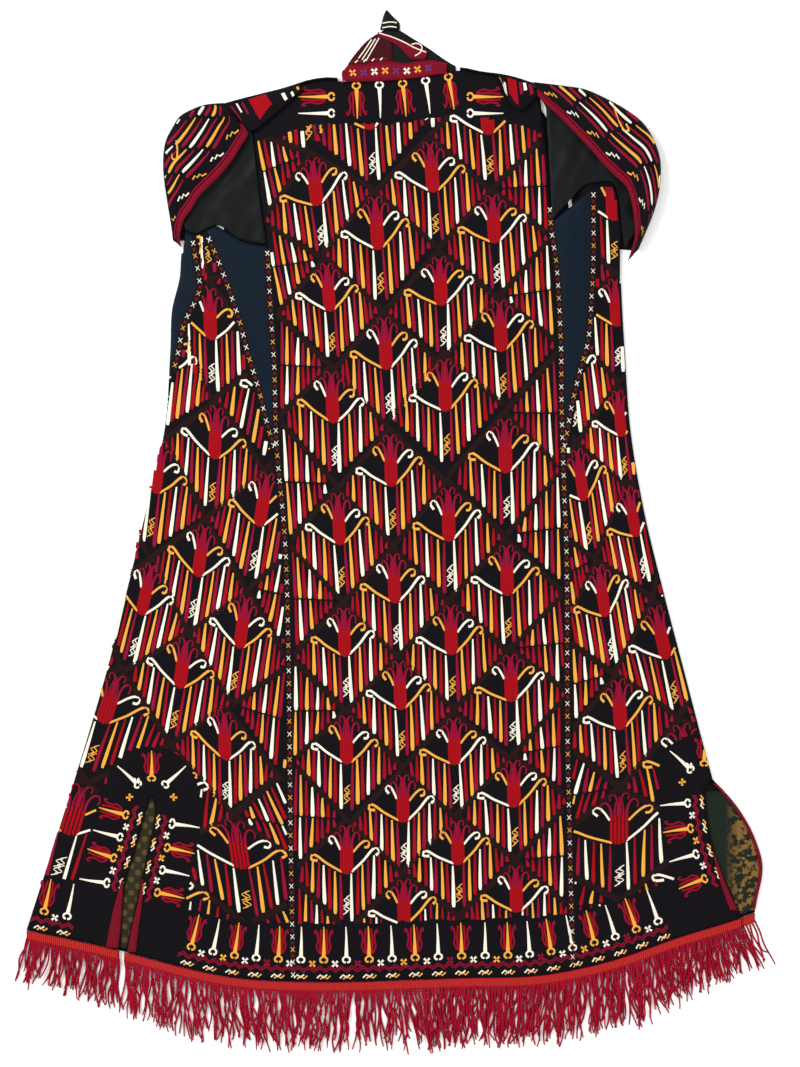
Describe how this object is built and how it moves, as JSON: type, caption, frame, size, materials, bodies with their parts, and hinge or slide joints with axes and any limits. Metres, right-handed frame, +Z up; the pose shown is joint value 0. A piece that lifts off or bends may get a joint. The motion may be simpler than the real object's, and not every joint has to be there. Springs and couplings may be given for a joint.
{
  "type": "bridal robe laid flat, face down",
  "caption": "Dark silk robe laid face down: long back, flared side gores with vents, folded sleeves, turned-up neck corner and fringed hem.",
  "frame": {"origin": "middle of the laid robe's outline, fringe included, on the surface that it lies on", "axes": "+Y up the robe towards the neck, +X across it, +Z up from the surface"},
  "size_m": [0.9126, 1.257, 0.0289],
  "materials": {
    "embroidered_silk": "dark silk covered in coloured chain and lacing stitch",
    "plain_silk": "plain dark silk",
    "navy_silk": "plain navy silk with a soft sheen",
    "black_silk": "plain black silk with a soft sheen",
    "red_edging": "dense crimson stitching along an edge",
    "striped_facing": "maroon cotton with thin pale stripes",
    "red_facing": "plain red cotton",
    "printed_lining": "printed cotton in olive green and brown",
    "red_fringe": "woven red braid with twisted cords"
  },
  "bodies": {
    "root": {"back_panel": "embroidered_silk", "front_left": "plain_silk", "front_right": "plain_silk", "gore_left": "embroidered_silk", "gore_right": "embroidered_silk", "gusset_left": "navy_silk", "gusset_left_side": "navy_silk", "gusset_right": "navy_silk", "underarm_left": "black_silk", "underarm_right": "black_silk", "shoulder_left": "embroidered_silk", "shoulder_right": "embroidered_silk", "sleeve_left": "embroidered_silk", "sleeve_right": "embroidered_silk", "sleeve_band_left": "red_edging", "sleeve_band_right": "red_edging", "neck_band": "red_edging", "neck_facing_left": "striped_facing", "neck_facing_right": "black_silk", "neck_trim": "red_edging", "neck_tip": "black_silk", "vent_facing_left_outer": "red_facing", "vent_facing_left_inner": "red_facing", "vent_facing_right": "red_facing", "vent_binding_right": "red_facing", "vent_lining_left": "printed_lining", "vent_lining_right": "printed_lining", "fringe_back": "red_fringe", "fringe_front_left": "red_fringe", "fringe_front_right": "red_fringe"}
  },
  "joints": []
}
